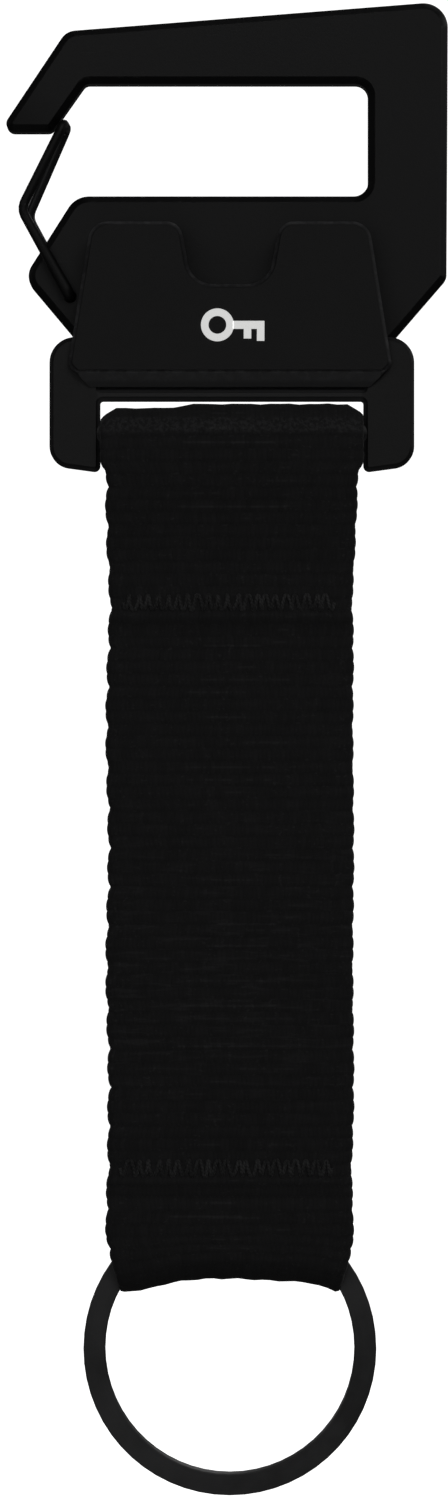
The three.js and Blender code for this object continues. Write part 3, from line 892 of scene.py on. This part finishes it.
def build_gate(colours):
    """The wire gate."""
    gate = softened("wire_gate", "gate", 0)
    thicken_eyes(gate, Vector(JOINTS["gate_swing"]["pos_m"]))
    smooth(gate, 80)
    dressed(gate, wire_finish(colours))
    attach(gate, "gate")


def build_latch(sizes, colours):
    """The latch cover and the strap frame behind it."""
    cover = softened("latch_cover", "cover", sizes.soft_edge)
    dressed(cover, cover_finish(colours))
    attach(cover, "latch")
    yoke = softened("strap_frame", "yoke", sizes.soft_edge)
    dressed(yoke, moulding_finish(colours))
    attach(yoke, "latch")


def build_sign(sizes, colours):
    """A plain key sign printed on the cover: a round bow, a stem and two teeth."""
    low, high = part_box("latch_cover")
    unit = sizes.sign_width / SIGN_UNITS
    upright = (math.pi / 2, 0, 0)
    centre = Vector((SIGN_X - BOW_RADIUS * unit, low.y, low.z + (high.z - low.z) * SIGN_HEIGHT_SHARE))
    bpy.ops.mesh.primitive_circle_add(
        vertices=48, radius=BOW_RADIUS * unit, fill_type="NGON", location=centre, rotation=upright
    )
    bow = named(bpy.context.active_object, "key_sign")
    placed(bow)

    def hollow():
        bpy.ops.mesh.inset(thickness=BOW_BAND * unit)
        bpy.ops.mesh.delete(type="FACE")

    edited(bow, hollow)
    parts = [bow]
    for left, right, bottom, top in SIGN_STROKES:
        at = centre + Vector(((left + right) / 2 * unit, 0, (bottom + top) / 2 * unit))
        bpy.ops.mesh.primitive_plane_add(size=1, location=at, rotation=upright)
        stroke = bpy.context.active_object
        stroke.scale = ((right - left) * unit, (top - bottom) * unit, 1)
        placed(stroke)
        parts.append(stroke)
    only(bow)
    for part in parts:
        part.select_set(True)
    bpy.ops.object.join()
    edited(bow, merged)
    modified(bow, "SOLIDIFY", thickness=sizes.sign_thick * 2, offset=0)
    edited(bow, outward)
    dressed(bow, sign_finish(colours))
    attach(bow, "latch")


# ------------------------------------------------------------------ strap


def band_section(columns, corner):
    """Points round a flat band with round edges: share of the half width, edge reach and way out."""
    flat = np.linspace(-1, 1, columns + 1)
    turn = np.linspace(math.pi / 2, -math.pi / 2, corner + 1)[1:-1]
    side = np.concatenate([flat, np.ones(len(turn)), flat[::-1], -np.ones(len(turn)), flat[:1]])
    reach = np.concatenate([0 * flat, np.cos(turn), 0 * flat, -np.cos(turn[::-1]), [0]])
    out = np.concatenate([1 + 0 * flat, np.sin(turn), -1 + 0 * flat, np.sin(turn[::-1]), [1]])
    return side, reach, out


def even_line(y, z, step):
    """A line resampled at even steps, with the steps' lengths along it and the outward normals."""
    run = np.concatenate([[0], np.cumsum(np.hypot(np.diff(y), np.diff(z)))])
    count = int(round(run[-1] / step))
    at = np.linspace(0, run[-1], count + 1)
    y, z = np.interp(at, run, y), np.interp(at, run, z)
    ty, tz = np.gradient(y), np.gradient(z)
    size = np.hypot(ty, tz)
    return at, y, z, -tz / size, ty / size


def strap_edges(sizes, z):
    """How far the strap reaches to the left and to the right at a height.

    It swells between the rows, the thread draws it in, and it spreads to fill the frame's slot.
    """
    swell = SWELL * np.cos(2 * math.pi * (z - SWELL_PEAK) / SWELL_LENGTH)
    drawn = DRAWN * sum(near(z, row_z, 3 * MM) for row_z in ROWS.values())
    scallop = sizes.scallop_deep * (hump((z - ROWS["upper"] + 0.5 * MM) / sizes.scallop_pitch) - 0.6)
    flare = RIGHT_FLARE * ramp(z, ROWS["upper"], BAR.z - 3 * MM)
    left = sizes.strap_half + swell - drawn + scallop
    right = sizes.strap_half + RIGHT_MORE + RIGHT_SWELL_SHARE * swell - drawn
    right = right + RIGHT_SCALLOP_SHARE * scallop + flare
    spread = ramp(z, BAR.z - 3.8 * MM, BAR.z - 2.9 * MM)
    left = left + (SLOT_LEFT - left) * spread
    right = right + (SLOT_RIGHT - right) * spread
    return left, right


def pinch(z):
    """How far the thread of each row pulls the layers together."""
    return PINCH * sum(near(z, row_z, 1.1 * MM) for row_z in ROWS.values())


def webbing(name, sizes, line, edges, lift):
    """A folded length of ribbed webbing along a side-view line."""
    at, y, z, out_y, out_z = even_line(*line, sizes.rib_pitch / RIB_STEPS)
    ribs = round(at[-1] / sizes.rib_pitch)
    phase = at / at[-1] * ribs
    side, reach, out = band_section(STRAP_COLUMNS, EDGE_STEPS)
    thick = sizes.layer / 2
    left, right = edges(at, z)
    wide = (left + right) / 2 + 0.1 * MM * (hump(phase) - 0.5)
    off = (right - left) / 2

    def place(i, j):
        """The point i of the section at station j, pressed in between the ribs."""
        flat = side[i] * (wide[j] - thick)
        x = flat + reach[i] * thick + off[j]
        ripple = sum(share * np.sin(x * over + at[j] * on) for share, over, on in RIB_WAVES)
        rib = sizes.rib_depth * (hump(phase[j] + ripple) - 1)
        outer = out[i] * (thick + rib)
        up = lift(x, at[j])
        return np.stack([x, y[j] + out_y[j] * outer, z[j] + out_z[j] * outer + up], axis=1)

    obj = swept(name, len(side) - 1, len(at) - 1, place, phase * sizes.rib_pitch / MM)
    smooth(obj, 70)
    return obj


def folded(run, gap, over, way):
    """A side-view line along one face of the strap, round a fold and back along the other face.

    It starts at the height run[0] and turns round run[-1]. From the middle it lies gap out along a face
    and over out in the fold. It folds at the top, front to back, if way is 1, and at the bottom if -1.
    """
    turn = np.linspace(0, math.pi, FOLD_STEPS)[1:-1]
    y = np.concatenate([-gap, -over * np.cos(turn), gap[::-1]])
    z = np.concatenate([run, run[-1] + way * over * np.sin(turn), run[::-1]])
    return BAR.y + way * y, z


def upper_line(sizes):
    """The upper webbing's middle line: up the front, round the frame's bar and down the back."""
    flat = sizes.layer / 2 + PLY_GAP
    over = STRAP_HIGH.z - BAR.z - sizes.layer / 2
    rise = np.linspace(STRAP_JOIN, BAR.z, RUN_STEPS)
    parting = ramp(rise, ROWS["upper"] + 2.2 * MM, BAR.z - 1.5 * MM)
    return folded(rise, flat + (over - flat) * parting - pinch(rise), over, 1)


def lower_line(sizes):
    """The lower webbing's middle line: down the back, under the ring's top and up the front."""
    flat = sizes.layer / 2 + PLY_GAP
    low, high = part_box("webbing_lower")
    over = (high.y - low.y - sizes.layer) / 2
    drop = np.linspace(STRAP_JOIN, low.z + over + sizes.layer / 2, RUN_STEPS)
    parting = ramp(ROWS["lower"] - drop, 1.1 * MM, 4.3 * MM)
    return folded(drop, flat + (over - flat) * parting - pinch(drop), over, -1)


def run_length(line):
    """The length of a side-view line."""
    return np.hypot(*np.diff(line)).sum()


def build_strap(sizes, colours):
    """The sewn webbing, in two lengths that meet between the bends."""
    cloth = webbing_finish(sizes, colours)
    line = upper_line(sizes)
    total = run_length(line)

    def crown(x, at):
        """The fold over the bar: higher on the right, and lower at its corners."""
        corner = ramp(np.abs(x - 0.2 * MM), 11.6 * MM, 13.3 * MM)
        slant = ramp(x, -6.5 * MM, -3.5 * MM)
        rise = -0.2 * MM + 0.42 * MM * slant - 0.8 * MM * corner
        return (rise + waves(x, CROWN_WAVES)) * near(at, total / 2, 3.6 * MM)

    upper = webbing("strap_upper", sizes, line, lambda at, z: strap_edges(sizes, z), crown)
    dressed(upper, cloth)
    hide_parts("webbing_upper", "webbing_middle")
    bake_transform(upper)

    line = lower_line(sizes)
    middle = run_length(line) / 2
    edge = sizes.fold_half

    def tucked(at, z):
        """The edges, drawn in to the fold round the ring."""
        tight = 1 - ramp(np.abs(at - middle), 0.6 * MM, 6.4 * MM)
        left, right = strap_edges(sizes, z)
        return left + (edge - left) * tight, right + (edge - right) * tight

    def arch(x, at):
        """The lift of the fold round the ring between its corners."""
        share = np.interp(x / edge, *zip(*FOLD_ARCH))
        faded = 1 - ramp(np.abs(at - middle), 1.5 * MM, 8 * MM)
        return sizes.fold_lift * share * (1 + waves(x, ARCH_WAVES)) * faded

    lower = webbing("strap_lower", sizes, line, tucked, arch)
    dressed(lower, cloth)
    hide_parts("webbing_lower")
    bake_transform(lower)


def stitch_line(sizes, row, way, seed):
    """The middle line of a thread that runs to and fro, each turn a little out of place."""
    legs = int(2 * sizes.row_half / sizes.stitch_pitch)
    t = np.arange(legs * LEG_STEPS + 1) / LEG_STEPS
    turns = np.arange(legs + 2)
    chance = np.random.default_rng(seed)
    tall = np.interp(t, turns, sizes.row_high / 2 * chance.uniform(SHORTEST_LEG, 1, legs + 2))
    stray = np.interp(t, turns, sizes.stitch_pitch * chance.uniform(-STRAY, STRAY, legs + 2))
    saw = np.abs((t + 0.5) % 2 - 1) * 2 - 1
    swing = np.sin(saw * math.pi / 2)
    stand = sizes.layer + THREAD_OUT - THREAD_DIP * np.abs(swing) ** 6
    x = -sizes.row_half + t * sizes.stitch_pitch + stray
    return np.stack([x, BAR.y + way * stand, row + tall * swing], axis=1)


def stitch_row(name, sizes, row, way, seed):
    """A thread that runs to and fro across the strap and dips into it at each turn."""
    line = stitch_line(sizes, row, way, seed)
    ahead = np.gradient(line, axis=0)
    ahead /= np.linalg.norm(ahead, axis=1)[:, None]
    out = np.array([0.0, way, 0.0]) - ahead * (ahead[:, 1] * way)[:, None]
    out /= np.linalg.norm(out, axis=1)[:, None]
    aside = np.cross(ahead, out)
    run = np.cumsum([0, *np.linalg.norm(np.diff(line, axis=0), axis=1)])

    def place(i, j):
        """The point i of the thread's section at station j."""
        turn = (2 * math.pi * i / THREAD_SIDES)[:, None]
        return line[j] + sizes.thread / 2 * (out[j] * np.cos(turn) + aside[j] * np.sin(turn))

    obj = swept(name, THREAD_SIDES, len(line) - 1, place, run / MM)
    smooth(obj, 80)
    return obj


def build_stitching(sizes, colours):
    """The two rows of stitches, each with a thread on the front and one on the back."""
    thread = thread_finish(sizes, colours)
    for row, body in (("upper", "strap_top"), ("lower", "strap_bottom")):
        for face, way in (("front", -1), ("back", 1)):
            piece = stitch_row(f"{row}_stitches_{face}", sizes, ROWS[row], way, ROW_SEEDS[row])
            dressed(piece, thread)
            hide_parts(f"{row}_stitching_{face}")
            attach(piece, body)


def build_ring(sizes, colours):
    """The split ring with its edges rounded."""
    ring = softened("split_ring", "key_ring", sizes.soft_edge, 50)
    dressed(ring, ring_finish(colours))
    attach(ring, "ring")


# ------------------------------------------------------------------ operators


class ORGANISER_OT_stage(bpy.types.Operator):
    """Sets up the camera, the lights and the floor"""

    bl_idname = "organiser.stage"
    bl_label = "Stage"

    def execute(self, context):
        build_stage(context.scene.organiser_colours)
        return {"FINISHED"}


class ORGANISER_OT_hook(bpy.types.Operator):
    """Builds the snap hook and finishes its studs and magnets"""

    bl_idname = "organiser.hook"
    bl_label = "Snap hook"

    def execute(self, context):
        build_hook(context.scene.organiser_sizes, context.scene.organiser_colours)
        return {"FINISHED"}


class ORGANISER_OT_gate(bpy.types.Operator):
    """Builds the wire gate"""

    bl_idname = "organiser.gate"
    bl_label = "Wire gate"

    def execute(self, context):
        build_gate(context.scene.organiser_colours)
        return {"FINISHED"}


class ORGANISER_OT_latch(bpy.types.Operator):
    """Builds the latch cover and the strap frame"""

    bl_idname = "organiser.latch"
    bl_label = "Latch"

    def execute(self, context):
        build_latch(context.scene.organiser_sizes, context.scene.organiser_colours)
        return {"FINISHED"}


class ORGANISER_OT_sign(bpy.types.Operator):
    """Prints the key sign on the cover"""

    bl_idname = "organiser.sign"
    bl_label = "Key sign"

    def execute(self, context):
        build_sign(context.scene.organiser_sizes, context.scene.organiser_colours)
        return {"FINISHED"}


class ORGANISER_OT_strap(bpy.types.Operator):
    """Builds the folded webbing"""

    bl_idname = "organiser.strap"
    bl_label = "Strap"

    def execute(self, context):
        build_strap(context.scene.organiser_sizes, context.scene.organiser_colours)
        return {"FINISHED"}


class ORGANISER_OT_stitching(bpy.types.Operator):
    """Sews the two rows of stitches"""

    bl_idname = "organiser.stitching"
    bl_label = "Stitching"

    def execute(self, context):
        build_stitching(context.scene.organiser_sizes, context.scene.organiser_colours)
        return {"FINISHED"}


class ORGANISER_OT_ring(bpy.types.Operator):
    """Builds the split ring"""

    bl_idname = "organiser.ring"
    bl_label = "Split ring"

    def execute(self, context):
        build_ring(context.scene.organiser_sizes, context.scene.organiser_colours)
        return {"FINISHED"}


OPERATORS = (
    ORGANISER_OT_stage,
    ORGANISER_OT_hook,
    ORGANISER_OT_gate,
    ORGANISER_OT_latch,
    ORGANISER_OT_sign,
    ORGANISER_OT_strap,
    ORGANISER_OT_stitching,
    ORGANISER_OT_ring,
)


class ORGANISER_PT_panel(bpy.types.Panel):
    """Lists the pieces of the key organiser"""

    bl_idname = "ORGANISER_PT_panel"
    bl_label = "Key organiser"
    bl_space_type = "VIEW_3D"
    bl_region_type = "UI"
    bl_category = "Key organiser"

    def draw(self, context):
        for operator in OPERATORS:
            self.layout.operator(operator.bl_idname)
        for group in (context.scene.organiser_sizes, context.scene.organiser_colours):
            for name in group.__annotations__:
                self.layout.prop(group, name)


CLASSES = (OrganiserSizes, OrganiserColours, *OPERATORS, ORGANISER_PT_panel)


def register():
    """Adds the classes and the scene's sizes and colours."""
    for item in CLASSES:
        bpy.utils.register_class(item)
    bpy.types.Scene.organiser_sizes = bpy.props.PointerProperty(type=OrganiserSizes)
    bpy.types.Scene.organiser_colours = bpy.props.PointerProperty(type=OrganiserColours)


def unregister():
    """Takes the classes and the scene's sizes and colours away."""
    del bpy.types.Scene.organiser_colours
    del bpy.types.Scene.organiser_sizes
    for item in reversed(CLASSES):
        bpy.utils.unregister_class(item)


def main():
    """Builds the object piece by piece."""
    register()
    bpy.ops.organiser.stage()
    bpy.ops.organiser.hook()
    bpy.ops.organiser.gate()
    bpy.ops.organiser.latch()
    bpy.ops.organiser.sign()
    bpy.ops.organiser.strap()
    bpy.ops.organiser.stitching()
    bpy.ops.organiser.ring()


if __name__ == "__main__":
    main()
